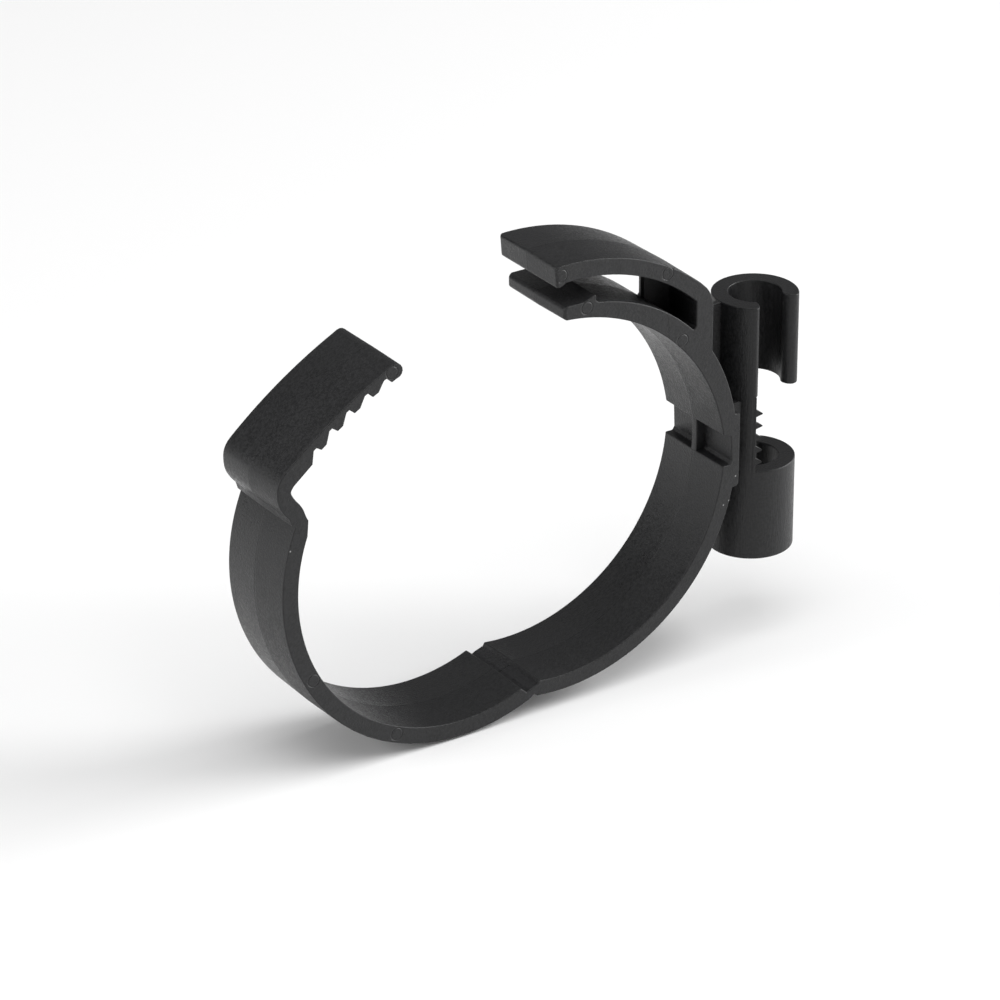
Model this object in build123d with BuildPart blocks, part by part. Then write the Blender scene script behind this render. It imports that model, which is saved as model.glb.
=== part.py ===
from build123d import *
import math
import os

# Hinged ratchet hose clamp, one moulding seen as its working regions.
# Ring lies in the XZ plane, width along Y, origin on the fixed half's seat axis, +Z up along the rod sleeves.

# Band
WIDTH = 14.6
HALF = WIDTH / 2
DRAFT = 1.0
SWELL = HALF * math.tan(math.radians(DRAFT))
SEAT_R = 28.8
ARC_OUTER_R = 31.2
SEAT_CUT_LOW = -6.7
SEAT_CUT_HIGH = 5.6

# Strap (moving half)
STRAP_CENTRE = (-17.15, -3.7)
STRAP_INNER_R = 27.25
STRAP_OUTER_R = 29.85

# Living hinge
PIVOT = (-4.6, -30.0)

# Ratchet tongue, given as radius and polar angle about the hinge
TONGUE_OUTER_R = 62.5
TONGUE_TIP_R = 63.0
TOOTH_R = (60.7, 60.7, 60.65, 60.4, 60.15)
VALLEY_R = (61.7, 61.7, 61.65, 61.4, 61.0)
VALLEY_HALF = 0.25
TONGUE_ROOT_R = 59.6
STEP_CUT = 131.2
FIRST_VALLEY = 113.9
TOOTH_PITCH = 3.25
TOOTH_COUNT = 4

# Mouth lips
LIP_GAP = 0.5
LIP_ROOT_X = 18.0
HOOK_X = 1.0
MOUTH_WEB_X = 18.9

# Rod sleeves
SLEEVE_AXIS_X = 39.25
SLEEVE_R = 6.5
BORE_R = 4.0
SLEEVE_LENGTH = 14.4
GAP_HALF = 6.0
SLEEVE_MID_Z = -0.2
SLOT_NARROW_SIDE = 29.0
SLOT_WIDE_SIDE = 40.0
BORE_LEAD = 0.35
LIP_FILLET = 0.5

# Spine and rack
SPINE_FLAT_X = 35.9
RACK_BASE = 0.5
RACK_PITCH = 1.97
RACK_TEETH = 5
RACK_TOP_Z = 3.3
RACK_RISE = 0.85
RACK_TOOTH_BASE = 1.1

# Webs
WEB_T = 0.9
RIB_T = 1.2
PAD_BLOCK_HALF = 4.0
PAD_X = 31.6

os.makedirs("parts", exist_ok=True)


def arm(radius, angle):
    """Point at a radius and polar angle (degrees) about the hinge pivot."""
    a = math.radians(angle)
    return (PIVOT[0] + radius * math.cos(a), PIVOT[1] + radius * math.sin(a))


def ring(radius, angle, centre=(0.0, 0.0)):
    """Point at a radius and polar angle (degrees) about a ring centre."""
    a = math.radians(angle)
    return (centre[0] + radius * math.cos(a), centre[1] + radius * math.sin(a))


def save(piece, label):
    """Names a finished piece and writes its STEP file."""
    piece.part.label = label
    export_step(piece.part, f"parts/{label}.step")


def out(point, s):
    """The point moved away from the seat axis by s."""
    r = math.hypot(*point)
    return (point[0] * (1 + s / r), point[1] * (1 + s / r))


def fixed_outline(s):
    """Outline of the fixed half, its walls thickened by s on each side."""
    l0 = ThreePointArc((-3.7, -28.56 + s), ring(SEAT_R - s, -45), out((28.68, -2.7), -s))
    l1 = Polyline(l0 @ 1, (29.9, -2.7), (30.25, -2.2), (30.1, 1.75), out((28.7, 2.4), -s))
    l2 = ThreePointArc(l1 @ 1, out((20.45, 18.7), -s), out((0.7, 27.75), -s))
    l3 = Polyline(l2 @ 1, (0.3, 28.1), (0.3, 29.45), (0.7, 29.85), (3.7, 29.85), (5.75, 30.65),
                  (5.8, 29.7), (6.2, 29.3))
    l4 = ThreePointArc(l3 @ 1, (15.1, 26.45), (23.0, 20.7))
    l5 = Polyline(l4 @ 1, (23.45, 21.2), (23.45, 25.1))
    l6 = ThreePointArc(l5 @ 1, (14.6, 30.95), (2.5, 33.65))
    l7 = Polyline(l6 @ 1, (0.6, 33.6), (0.1, 33.25), (-0.9, 33.0), out((-1.2, 36.35), s))
    l8 = ThreePointArc(l7 @ 1, out((12.6, 34.4), s), out((24.2, 27.8), s))
    l9 = Polyline(l8 @ 1, (25.4 + s, 26.6), (26.4 + s, 24.1), (26.4 + s, 16.6))
    l10 = ThreePointArc(l9 @ 1, ring(ARC_OUTER_R + s, 21), out((30.75, 5.3), s))
    l11 = Polyline(l10 @ 1, (PAD_X, 5.2), (PAD_X, -6.2), (31.2, -6.5), out((30.5, -6.55), s))
    l12 = ThreePointArc(l11 @ 1, ring(ARC_OUTER_R + s, -50), (-3.4, -31.0 - s))
    Polyline(l12 @ 1, (-4.0, -30.95), (-4.0, -29.1), l0 @ 0)


# ---------------------------------------------------------------- fixed half, one drafted moulding
with BuildPart() as fixed_half:
    for level, swell in ((0, SWELL), (HALF, 0)):
        with BuildSketch(Plane.XZ.offset(level)):
            with BuildLine():
                fixed_outline(swell)
            make_face()
    loft(ruled=True)
    mirror(about=Plane.XZ)


def prism(*points):
    """Full-width block over a polygon of the ring plane, used to take one region out of a moulding."""
    with BuildPart() as block:
        with BuildSketch(Plane.XZ):
            with BuildLine():
                Polyline(*points, close=True)
            make_face()
        extrude(amount=HALF + 1, both=True)
    return block.part


def fixed_piece(label, *points):
    """One region of the fixed half as a piece of its own."""
    block = prism(*points)
    with BuildPart() as piece:
        add(fixed_half.part)
        add(block, mode=Mode.INTERSECT)
    save(piece, label)
    return piece


clamp_arc = fixed_piece("clamp_arc", (-10, -40), (40, -40), (40, SEAT_CUT_LOW), (-10, SEAT_CUT_LOW))
seat_pad = fixed_piece("seat_pad", (20, SEAT_CUT_LOW), (40, SEAT_CUT_LOW), (40, SEAT_CUT_HIGH), (20, SEAT_CUT_HIGH))
upper_jaw = fixed_piece("upper_jaw", (LIP_ROOT_X + LIP_GAP, SEAT_CUT_HIGH), (40, SEAT_CUT_HIGH), (40, 40),
                        (LIP_ROOT_X + LIP_GAP, 40))
outer_lip = fixed_piece("outer_lip", (HOOK_X, 31.8), (8, 31.6), (LIP_ROOT_X, 27.0), (LIP_ROOT_X, 40), (HOOK_X, 40))
lip_hook = fixed_piece("lip_hook", (-5, 31.8), (HOOK_X, 31.8), (HOOK_X, 40), (-5, 40))
outer_lip_flexure = fixed_piece("outer_lip_flexure", (LIP_ROOT_X, 27.0), (LIP_ROOT_X + LIP_GAP, 27.0),
                                (LIP_ROOT_X + LIP_GAP, 40), (LIP_ROOT_X, 40))
inner_lip_flexure = fixed_piece("inner_lip_flexure", (LIP_ROOT_X, 15), (LIP_ROOT_X + LIP_GAP, 15),
                                (LIP_ROOT_X + LIP_GAP, 27.0), (LIP_ROOT_X, 27.0))
pawl_tooth = fixed_piece("pawl_tooth", (3.7, 29.85), (6.2, 29.3), (6.6, 31.2), (4.5, 31.2))

lip_block = prism((-5, 15), (LIP_ROOT_X, 15), (LIP_ROOT_X, 27.0), (8, 31.4), (-5, 31.4))
pawl_block = prism((3.7, 29.85), (6.2, 29.3), (6.6, 32), (3.7, 32))
with BuildPart() as inner_lip:
    add(fixed_half.part)
    add(lip_block, mode=Mode.INTERSECT)
    add(pawl_block, mode=Mode.SUBTRACT)
save(inner_lip, "inner_lip")

# ---------------------------------------------------------------- thin webs on the mid plane
with BuildPart() as mouth_web:
    with BuildSketch(Plane.XZ):
        with BuildLine():
            Polyline((MOUTH_WEB_X, 22.6), (24.4, 20.0), (24.4, 26.6), (MOUTH_WEB_X, 30.2), close=True)
        make_face()
    extrude(amount=WEB_T / 2, both=True)
    add(fixed_half.part, mode=Mode.SUBTRACT)
save(mouth_web, "mouth_web")

with BuildPart() as seat_rib:
    with BuildSketch(Plane.XZ):
        with BuildLine():
            r0 = ThreePointArc((28.56, -3.2), (28.67, 0), (28.55, 2.9))
            Polyline(r0 @ 1, (31.0, 2.9), (31.0, -3.2), r0 @ 0)
        make_face()
    extrude(amount=RIB_T / 2, both=True)
    add(fixed_half.part, mode=Mode.SUBTRACT)
save(seat_rib, "seat_rib")

# ---------------------------------------------------------------- rod sleeves
GAP_LOW = SLEEVE_MID_Z - GAP_HALF
GAP_HIGH = SLEEVE_MID_Z + GAP_HALF


def sleeve(label, bottom, side):
    """C-section sleeve on the rod axis; side is the Y direction its moulding slot faces."""
    reach = 12.0
    narrow = math.radians(SLOT_NARROW_SIDE)
    wide = math.radians(SLOT_WIDE_SIDE)
    with BuildPart() as piece:
        with BuildSketch(Plane.XY.offset(bottom)):
            with Locations((SLEEVE_AXIS_X, 0)):
                Circle(SLEEVE_R)
                Circle(BORE_R, mode=Mode.SUBTRACT)
            with BuildLine():
                Polyline((SLEEVE_AXIS_X, 0),
                         (SLEEVE_AXIS_X - reach * math.sin(narrow), side * reach * math.cos(narrow)),
                         (SLEEVE_AXIS_X + reach * math.sin(wide), side * reach * math.cos(wide)), close=True)
            make_face(mode=Mode.SUBTRACT)
        extrude(amount=SLEEVE_LENGTH)
        lips = piece.edges().filter_by(Axis.Z)
        fillet(lips, LIP_FILLET)
        rims = piece.edges().filter_by(GeomType.CIRCLE).filter_by(lambda e: abs(e.radius - BORE_R) < 0.01)
        chamfer(rims, BORE_LEAD)
    save(piece, label)
    return piece


upper_sleeve = sleeve("upper_sleeve", GAP_HIGH, -1)
lower_sleeve = sleeve("lower_sleeve", GAP_LOW - SLEEVE_LENGTH, 1)

# ---------------------------------------------------------------- spine between the sleeves, with its rack
with BuildPart() as spine:
    with BuildSketch(Plane.XY.offset(GAP_LOW)):
        with Locations((SLEEVE_AXIS_X, 0)):
            Circle(SLEEVE_R)
        with Locations((SPINE_FLAT_X - RACK_BASE + 10, 0)):
            Rectangle(20, 20, mode=Mode.SUBTRACT)
    extrude(amount=2 * GAP_HALF)
save(spine, "spine")

rack_line = [(SPINE_FLAT_X, GAP_HIGH)]
for k in range(RACK_TEETH):
    z = RACK_TOP_Z - k * RACK_PITCH
    rack_line += [(SPINE_FLAT_X, z + RACK_TOOTH_BASE / 2), (SPINE_FLAT_X + RACK_RISE, z + 0.08),
                  (SPINE_FLAT_X + RACK_RISE, z - 0.08), (SPINE_FLAT_X, z - RACK_TOOTH_BASE / 2)]
rack_line += [(SPINE_FLAT_X, GAP_LOW), (SPINE_FLAT_X - RACK_BASE, GAP_LOW), (SPINE_FLAT_X - RACK_BASE, GAP_HIGH)]

with BuildPart() as spine_rack:
    with BuildSketch(Plane.XZ):
        with BuildLine():
            Polyline(*rack_line, close=True)
        make_face()
    extrude(amount=HALF, both=True)
    with BuildSketch(Plane.XY.offset(GAP_LOW)):
        with Locations((SLEEVE_AXIS_X, 0)):
            Circle(SLEEVE_R)
    extrude(amount=2 * GAP_HALF, mode=Mode.INTERSECT)
save(spine_rack, "spine_rack")

# ---------------------------------------------------------------- joining block and web
with BuildPart() as pad_block:
    with BuildSketch(Plane.XZ):
        with BuildLine():
            Polyline((PAD_X, -6.2), (35.0, -6.2), (35.0, 5.2), (PAD_X, 5.2), close=True)
        make_face()
    extrude(amount=PAD_BLOCK_HALF, both=True)
    add(spine.part, mode=Mode.SUBTRACT)
save(pad_block, "pad_block")

with BuildPart() as sleeve_web:
    with BuildSketch(Plane.XZ):
        with BuildLine():
            Polyline((25.3, GAP_HIGH + SLEEVE_LENGTH), (33.6, GAP_HIGH + SLEEVE_LENGTH), (33.6, 5.2), (29.6, 5.2),
                     (25.3, 16.5), close=True)
        make_face()
    extrude(amount=WEB_T / 2, both=True)
    add(fixed_half.part, mode=Mode.SUBTRACT)
    add(upper_sleeve.part, mode=Mode.SUBTRACT)
    add(spine.part, mode=Mode.SUBTRACT)
save(sleeve_web, "sleeve_web")


# ---------------------------------------------------------------- moving half, one drafted moulding
def valley(k):
    """Polar angle of ratchet valley k."""
    return FIRST_VALLEY + k * TOOTH_PITCH


def strap_outline(s):
    """Outline of the strap with its step and ratchet tongue, its walls thickened by s on each side."""
    m0 = ThreePointArc((-6.9, -28.95 + s), ring(STRAP_INNER_R - s, -134, STRAP_CENTRE),
                       ring(STRAP_INNER_R - s, 159.6, STRAP_CENTRE))
    path = [m0 @ 1, (-42.35, 7.9), (-43.7, 10.8), (-45.1, 12.6), (-45.25, 13.3), (-44.9, 13.9),
            arm(TONGUE_ROOT_R, 128.5), arm(VALLEY_R[4], valley(4) + VALLEY_HALF)]
    for k in range(4, 0, -1):
        path += [arm(VALLEY_R[k], valley(k) - VALLEY_HALF), arm(TOOTH_R[k], valley(k) - VALLEY_HALF - 0.37),
                 arm(TOOTH_R[k], valley(k - 1) + VALLEY_HALF + 1.4), arm(VALLEY_R[k - 1], valley(k - 1) + VALLEY_HALF)]
    path += [arm(VALLEY_R[0], valley(0) - VALLEY_HALF), arm(TOOTH_R[0], valley(0) - VALLEY_HALF - 0.37),
             arm(TOOTH_R[0], 112.4)]
    m1 = Polyline(*path)
    m2 = ThreePointArc(m1 @ 1, arm(61.8, 111.1), arm(TONGUE_TIP_R + s, 112.3))
    m3 = ThreePointArc(m2 @ 1, arm(TONGUE_OUTER_R + s, 121.5), arm(TONGUE_OUTER_R - 0.2 + s, 130.4))
    m4 = Polyline(m3 @ 1, (-46.5 - s, 15.9 + s), (-47.3 - s, 14.6), (-47.5 - s, 13.2), (-47.1 - s, 11.4),
                  (-46.0 - s, 9.8), ring(STRAP_OUTER_R + s, 157.6, STRAP_CENTRE))
    m5 = ThreePointArc(m4 @ 1, ring(STRAP_OUTER_R + s, -135, STRAP_CENTRE), (-5.5, -31.15 - s))
    Polyline(m5 @ 1, (-5.9, -29.85), m0 @ 0)


with BuildPart() as moving_half:
    for level, swell in ((0, SWELL), (HALF, 0)):
        with BuildSketch(Plane.XZ.offset(level)):
            with BuildLine():
                strap_outline(swell)
            make_face()
    loft(ruled=True)
    mirror(about=Plane.XZ)


def moving_piece(label, *points):
    """One region of the moving half as a piece of its own."""
    block = prism(*points)
    with BuildPart() as piece:
        add(moving_half.part)
        add(block, mode=Mode.INTERSECT)
    save(piece, label)
    return piece


def tooth_region(k):
    """Polygon that holds ratchet tooth k, from its chord on the blade inwards."""
    return (arm(VALLEY_R[k - 1], valley(k - 1) + VALLEY_HALF), arm(58, valley(k - 1) + VALLEY_HALF),
            arm(58, valley(k) - VALLEY_HALF), arm(VALLEY_R[k], valley(k) - VALLEY_HALF))


strap_arc = moving_piece("strap_arc", (-50, -40), (0, -40), (0, 7.8), (-50, 7.8))
strap_step = moving_piece("strap_step", (-50, 7.8), (-40, 7.8), arm(58, STEP_CUT), arm(66, STEP_CUT), (-50, 17))
tongue_tip = moving_piece("tongue_tip", arm(58, valley(0)), arm(66, valley(0)), arm(66, 108), arm(58, 108))
for k in range(1, TOOTH_COUNT + 1):
    moving_piece(f"ratchet_tooth_{k}", *tooth_region(k))

blade_block = prism(arm(56, valley(0)), arm(68, valley(0)), arm(68, STEP_CUT), arm(56, STEP_CUT))
tooth_blocks = [prism(*tooth_region(k)) for k in range(1, TOOTH_COUNT + 1)]
with BuildPart() as tongue_blade:
    add(moving_half.part)
    add(blade_block, mode=Mode.INTERSECT)
    for block in tooth_blocks:
        add(block, mode=Mode.SUBTRACT)
save(tongue_blade, "tongue_blade")

# ---------------------------------------------------------------- living hinge
with BuildPart() as hinge_film:
    with BuildSketch(Plane.XZ):
        with BuildLine():
            Polyline((-5.9, -29.85), (-5.4, -29.55), (-4.0, -29.1), (-4.0, -30.95), (-4.55, -30.5), (-5.0, -30.85),
                     (-5.5, -31.15), close=True)
        make_face()
    extrude(amount=HALF, both=True)
save(hinge_film, "hinge_film")
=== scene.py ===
"""Looks of a hinged ratchet hose clamp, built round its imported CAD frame.

The clamp is one dark moulding. Its skin is a single closed line in the plane of the ring, carried across the
width with draft, a shallow parting groove and softened edges, and parted only where the film hinge and the two
catch lips bend. The rod sleeves, the spine with its rack and the thin webs are pieces of their own.
Lengths are millimetres in the frame of the CAD, and become metres when a mesh is made.
"""

import logging
import math
from collections.abc import Sequence
from dataclasses import dataclass
from enum import Enum

import bpy
import numpy as np
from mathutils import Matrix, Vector


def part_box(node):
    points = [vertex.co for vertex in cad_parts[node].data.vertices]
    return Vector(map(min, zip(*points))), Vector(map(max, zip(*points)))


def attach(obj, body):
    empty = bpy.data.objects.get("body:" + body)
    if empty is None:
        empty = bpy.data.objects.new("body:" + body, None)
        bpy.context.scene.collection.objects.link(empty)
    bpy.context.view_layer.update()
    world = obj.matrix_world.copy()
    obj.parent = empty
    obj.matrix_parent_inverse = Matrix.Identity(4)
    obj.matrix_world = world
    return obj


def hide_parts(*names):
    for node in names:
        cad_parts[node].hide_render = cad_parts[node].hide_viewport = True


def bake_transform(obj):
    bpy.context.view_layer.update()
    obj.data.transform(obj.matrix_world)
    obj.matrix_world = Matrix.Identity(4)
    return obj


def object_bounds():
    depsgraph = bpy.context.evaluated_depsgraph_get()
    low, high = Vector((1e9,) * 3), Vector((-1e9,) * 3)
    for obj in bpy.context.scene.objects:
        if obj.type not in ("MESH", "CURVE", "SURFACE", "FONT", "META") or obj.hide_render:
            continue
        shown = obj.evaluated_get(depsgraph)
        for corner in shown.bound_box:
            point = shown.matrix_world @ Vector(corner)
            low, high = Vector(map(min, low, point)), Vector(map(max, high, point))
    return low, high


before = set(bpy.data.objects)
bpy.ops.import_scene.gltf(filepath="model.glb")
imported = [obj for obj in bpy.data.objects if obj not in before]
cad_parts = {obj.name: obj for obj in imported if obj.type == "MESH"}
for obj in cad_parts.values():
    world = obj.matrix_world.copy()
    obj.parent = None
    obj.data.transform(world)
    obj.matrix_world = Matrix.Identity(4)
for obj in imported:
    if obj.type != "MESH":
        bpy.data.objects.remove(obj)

log = logging.getLogger("hose_clamp")

MM = 0.001
Pair = tuple[float, float]
Line = np.ndarray
SMOOTH_UNDER = math.radians(38)
SAME_POINT = 1e-4
NO_LENGTH = 1e-9
BLUNTEST_MITRE = 0.5
CAD_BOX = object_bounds()


# ------------------------------------------------------------------ lines in a plane
def arc_through(start: Pair, middle: Pair, end: Pair, count: int) -> Line:
    """Points evenly spaced on the circle through three points.

    The centre is where the perpendicular bisectors cross, and the angle runs from start to end by way of the
    middle point.

    Args:
        start, middle, end: points on the circle, in millimetres.
        count: how many chords the arc has.

    Returns:
        count + 1 points, the first at start and the last at end.
    """
    a, b, c = (np.asarray(p, float) for p in (start, middle, end))
    centre = np.linalg.solve(2 * np.array([b - a, c - a]), np.array([b @ b - a @ a, c @ c - a @ a]))
    spokes = np.array([a, b, c]) - centre
    angles = np.arctan2(spokes[:, 1], spokes[:, 0])
    full = (angles[2] - angles[0]) % math.tau
    sweep = full if (angles[1] - angles[0]) % math.tau < full else full - math.tau
    turn = angles[0] + sweep * np.linspace(0, 1, count + 1)
    return centre + np.hypot(*spokes[0]) * np.stack([np.cos(turn), np.sin(turn)], axis=1)


def chain(*parts: Sequence[Pair] | Line) -> Line:
    """One closed line through all the parts in turn.

    Args:
        parts: runs of points, where the first of one may repeat the last of the one before.

    Returns:
        The points, each repeated one given once.
    """
    line = np.concatenate([np.asarray(part, float).reshape(-1, 2) for part in parts])
    step = np.hypot(*(line - np.roll(line, 1, axis=0)).T)
    return line[step > SAME_POINT]


def cut_corners(points: Sequence[Pair], times: int = 3) -> Line:
    """A smooth run inside a few points.

    Each cut puts two points on every edge, a quarter of it from its ends, and keeps the run's own ends.

    Args:
        points: the run before the cuts.
        times: how many cuts are made.

    Returns:
        The points of the smooth run.
    """
    line = np.asarray(points, float)
    for _ in range(times):
        near, far = 0.75 * line[:-1] + 0.25 * line[1:], 0.25 * line[:-1] + 0.75 * line[1:]
        pairs = np.stack([near, far], axis=1).reshape(-1, 2)
        line = np.vstack([line[:1], pairs[1:-1], line[-1:]])
    return line


def polar(radius: float, degrees: float, centre: Pair = (0.0, 0.0)) -> Pair:
    """Point at a radius and an angle about a centre."""
    a = math.radians(degrees)
    return centre[0] + radius * math.cos(a), centre[1] + radius * math.sin(a)


def outward(point: Pair, by: float) -> Pair:
    """The point moved away from the seat axis."""
    share = 1 + by / math.hypot(*point)
    return point[0] * share, point[1] * share


def handedness(line: Line) -> float:
    """The sign of the area a closed line encloses: 1 if it runs anticlockwise and -1 if clockwise."""
    ahead = np.roll(line, -1, axis=0)
    return float(np.sign(np.sum(line[:, 0] * ahead[:, 1] - ahead[:, 0] * line[:, 1])))


def inward_mitres(line: Line) -> Line:
    """Vectors that move each point of a closed line by one millimetre of depth into the area it encloses.

    Each is the mean of the two edge normals at the point, lengthened by the reciprocal of its cosine with them.

    Args:
        line: the closed line.

    Returns:
        One vector a point.
    """
    edge = np.roll(line, -1, axis=0) - line
    edge /= np.hypot(*edge.T)[:, None]
    normal = np.stack([-edge[:, 1], edge[:, 0]], axis=1) * handedness(line)
    mitre = normal + np.roll(normal, 1, axis=0)
    mitre /= np.maximum(np.hypot(*mitre.T), NO_LENGTH)[:, None]
    return mitre / np.maximum(np.sum(mitre * normal, axis=1), BLUNTEST_MITRE)[:, None]


@dataclass(frozen=True)
class Softened:
    """Closed lines whose corners are rounded, with what the rounding did.

    Attributes:
        lines: the same line at each swell, points matched one to one.
        places: where each point of the sharp line now stands.
        room: how far the rim may be turned in at each point.
    """

    lines: np.ndarray
    places: np.ndarray
    room: np.ndarray


@dataclass(frozen=True)
class CornerRule:
    """How the corners of a section are rounded.

    Attributes:
        radius: the rounding, in millimetres.
        rim: the most that a rim may be turned in.
        hold: how far past a rounding its holding points stand.
        least_turn: corners that turn by fewer degrees stay as they are.
        steps: how many points a rounding has.
        trim_share, hold_share: the most of an edge that a rounding and a holding point may use up.
        rim_share: how much of a rounded corner's depth the rim may use up.
        most_turn, some_turn: turns in radians; a sharper corner is trimmed as if it turned by the first, and a
            flatter one gets its rim as if it turned by the second.
    """

    radius: float = 0.25
    rim: float = 0.15
    hold: float = 0.12
    least_turn: float = 9.0
    steps: int = 5
    trim_share: float = 0.38
    hold_share: float = 0.08
    rim_share: float = 0.7
    most_turn: float = 2.4
    some_turn: float = 0.1

    def apply(self, lines: np.ndarray, radius: np.ndarray | None = None) -> Softened:
        """Rounds every corner that turns by more than the least turn.

        A corner V with unit directions p and q to its neighbours becomes V + (1-u)^2 d p + u^2 d q, a parabola
        that leaves both edges d away from V, and a holding point past each end keeps the flats beside it flat.

        Args:
            lines: one closed line at several swells, shape (levels, points, 2).
            radius: the rounding at each point, where it isn't the rule's own.

        Returns:
            The rounded lines, with the places of the old points and the room for the rim.
        """
        back = np.roll(lines, 1, axis=1) - lines
        ahead = np.roll(lines, -1, axis=1) - lines
        behind, front = (np.linalg.norm(v, axis=2, keepdims=True) for v in (back, ahead))
        p, q = back / behind, ahead / front
        cross = p[0, :, 0] * q[0, :, 1] - p[0, :, 1] * q[0, :, 0]
        turn = np.pi - np.arccos(np.clip(np.sum(p[0] * q[0], axis=1), -1, 1))
        corner = turn > math.radians(self.least_turn)
        near = np.minimum(behind, front)[0, :, 0]
        wanted = self.radius if radius is None else radius
        trim = np.minimum(wanted * np.tan(np.minimum(turn, self.most_turn) / 2), self.trim_share * near)
        hold = np.minimum(self.hold, self.hold_share * near)
        u = np.linspace(0, 1, self.steps)
        zero = np.zeros_like(trim)[:, None]
        along_p = np.hstack([(trim + hold)[:, None], trim[:, None] * (1 - u) ** 2, zero])
        along_q = np.hstack([zero, trim[:, None] * u**2, (trim + hold)[:, None]])
        keep = np.zeros_like(along_p, bool)
        keep[:, self.steps // 2 + 1] = True
        keep[corner] = True
        along_p[~corner], along_q[~corner] = 0, 0
        moved = lines[:, :, None] + p[:, :, None] * along_p[..., None] + q[:, :, None] * along_q[..., None]
        count = keep.sum(axis=1)
        convex = corner & (cross * handedness(lines[0]) < 0)
        bend = np.maximum(turn, self.some_turn) / 2
        depth = self.rim_share * trim * np.cos(bend) ** 2 / np.sin(bend)
        room = np.where(convex, np.minimum(self.rim, depth), self.rim)
        return Softened(moved[:, keep], np.cumsum(count) - count + count // 2, np.repeat(room, count))


# ------------------------------------------------------------------ solids carried along a line
class Lie(Enum):
    """The plane that a section is drawn in, and so the way it is carried."""

    ACROSS_RING = "section in X and Z, carried along Y"
    ALONG_ROD = "section in X and Y, carried along Z"

    def place(self, section: np.ndarray, along: np.ndarray) -> np.ndarray:
        """Stands section points in space.

        Args:
            section: points in the plane, in millimetres.
            along: how far along the length each one is.

        Returns:
            The points in metres.
        """
        u, v = section[..., 0], section[..., 1]
        order = (u, along, v) if self is Lie.ACROSS_RING else (u, v, along)
        return np.stack(order, axis=-1) * MM


@dataclass(frozen=True)
class Carry:
    """Carries a softened section over its length, with both rims turned in as quarter rounds.

    Attributes:
        hold: the width of the flat band kept beside each rim and beside the parting groove.
        bends: how many chords a rim's quarter round has.
        face_inset: how far in the ring on each end face lies, as a multiple of the rim's room.
        groove_half: half the width of the parting groove at its top, or 0 for no groove.
        floor_half: half the width of its floor.
        groove_depth: how deep it is.
        step: how far the far mould half stands back from the near one.
        bands: depths of further rings beside each rim, where the ends are rounded in plan.
    """

    hold: float = 0.12
    bends: int = 3
    face_inset: float = 1.3
    groove_half: float = 0.0
    floor_half: float = 0.02
    groove_depth: float = 0.0
    step: float = 0.0
    bands: tuple[float, ...] = ()

    def _parting(self, count: int) -> tuple[np.ndarray, np.ndarray]:
        """The rings at the parting groove.

        Args:
            count: how many points the section has.

        Returns:
            How far along each ring is and how deep it is sunk, shape (6 or 0, points) both.
        """
        if not self.groove_half:
            return np.empty((0, count)), np.empty((0, count))
        top, beside = self.groove_half, self.groove_half + self.hold
        along = [-beside, -top, -self.floor_half, self.floor_half, top, beside]
        sunk = [0, 0, self.groove_depth, self.groove_depth + self.step, self.step, self.step]
        return np.outer(along, np.ones(count)), np.outer(sunk, np.ones(count))

    def rings(self, soft: Softened, half: float | np.ndarray, middle: float, lie: Lie) -> np.ndarray:
        """Rings of points from one end of the section's length to the other.

        At angle t of the rim's quarter round the line is inset by room (1 - sin t) at depth room (1 - cos t)
        below the end face. Between the rims the line is the mean of its two swells, weighted by the distance
        from the middle.

        Args:
            soft: the section at no swell and at full swell.
            half: half the length carried, for all points or for each.
            middle: where the middle of the length is.
            lie: the plane the section is drawn in.

        Returns:
            Points in metres, shape (rings, points, 3).
        """
        t = np.linspace(0, np.pi / 2, self.bends + 1)
        down = np.hstack([0, 1 - np.cos(t), 1, np.zeros(len(self.bands))])
        turned = np.hstack([self.face_inset, 1 - np.sin(t), 0, np.zeros(len(self.bands))])
        deeper = np.hstack([np.zeros(len(t) + 1), self.hold, self.bands])
        near = down[:, None] * soft.room + deeper[:, None] - half
        inset = turned[:, None] * soft.room
        middles, sunk = self._parting(len(soft.room))
        along = np.vstack([near, middles, -near[::-1]])
        inset = np.vstack([inset, sunk, inset[::-1] + self.step])
        swell = (1 - np.abs(along) / half)[..., None]
        section = soft.lines[0] * (1 - swell) + soft.lines[-1] * swell
        section = section + inward_mitres(soft.lines[0]) * inset[..., None]
        return lie.place(section, along + middle)


def closed_shell(name: str, rings: np.ndarray) -> bpy.types.Object:
    """A closed solid from rings of points, quads between the rings and one flat face over each end.

    The sign of the enclosed volume, a third of the sum of each face's area vector dotted with its centre, says
    whether the faces point outwards, and they are turned round if they don't.

    Args:
        name: the piece's name.
        rings: points in metres, shape (rings, points, 3).

    Returns:
        The object, linked to the scene.
    """
    i = np.arange(rings.shape[0] * rings.shape[1]).reshape(rings.shape[:2])
    beside = np.roll(i, -1, axis=1)
    quads = np.stack([i[:-1], i[1:], beside[1:], beside[:-1]], axis=-1).reshape(-1, 4)
    points = rings.reshape(-1, 3)
    a, b, c, d = (points[quads[:, k]] for k in range(4))
    volume = np.sum(np.cross(c - a, d - b) * (a + b + c + d) / 4)
    ends = [i[0], i[-1][::-1]]
    fans = [
        np.cross(points[e[1:-1]] - points[e[0]], points[e[2:]] - points[e[0]]) @ points[e[0]] for e in ends
    ]
    if volume + sum(f.sum() for f in fans) < 0:
        quads, ends = quads[:, ::-1], [e[::-1] for e in ends]
    mesh = bpy.data.meshes.new(name)
    mesh.from_pydata(points.tolist(), [], quads.tolist() + [e.tolist() for e in ends])
    mesh.validate()
    mesh.shade_smooth()
    mesh.set_sharp_from_angle(angle=SMOOTH_UNDER)
    piece = bpy.data.objects.new(name, mesh)
    bpy.context.scene.collection.objects.link(piece)
    return piece


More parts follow.
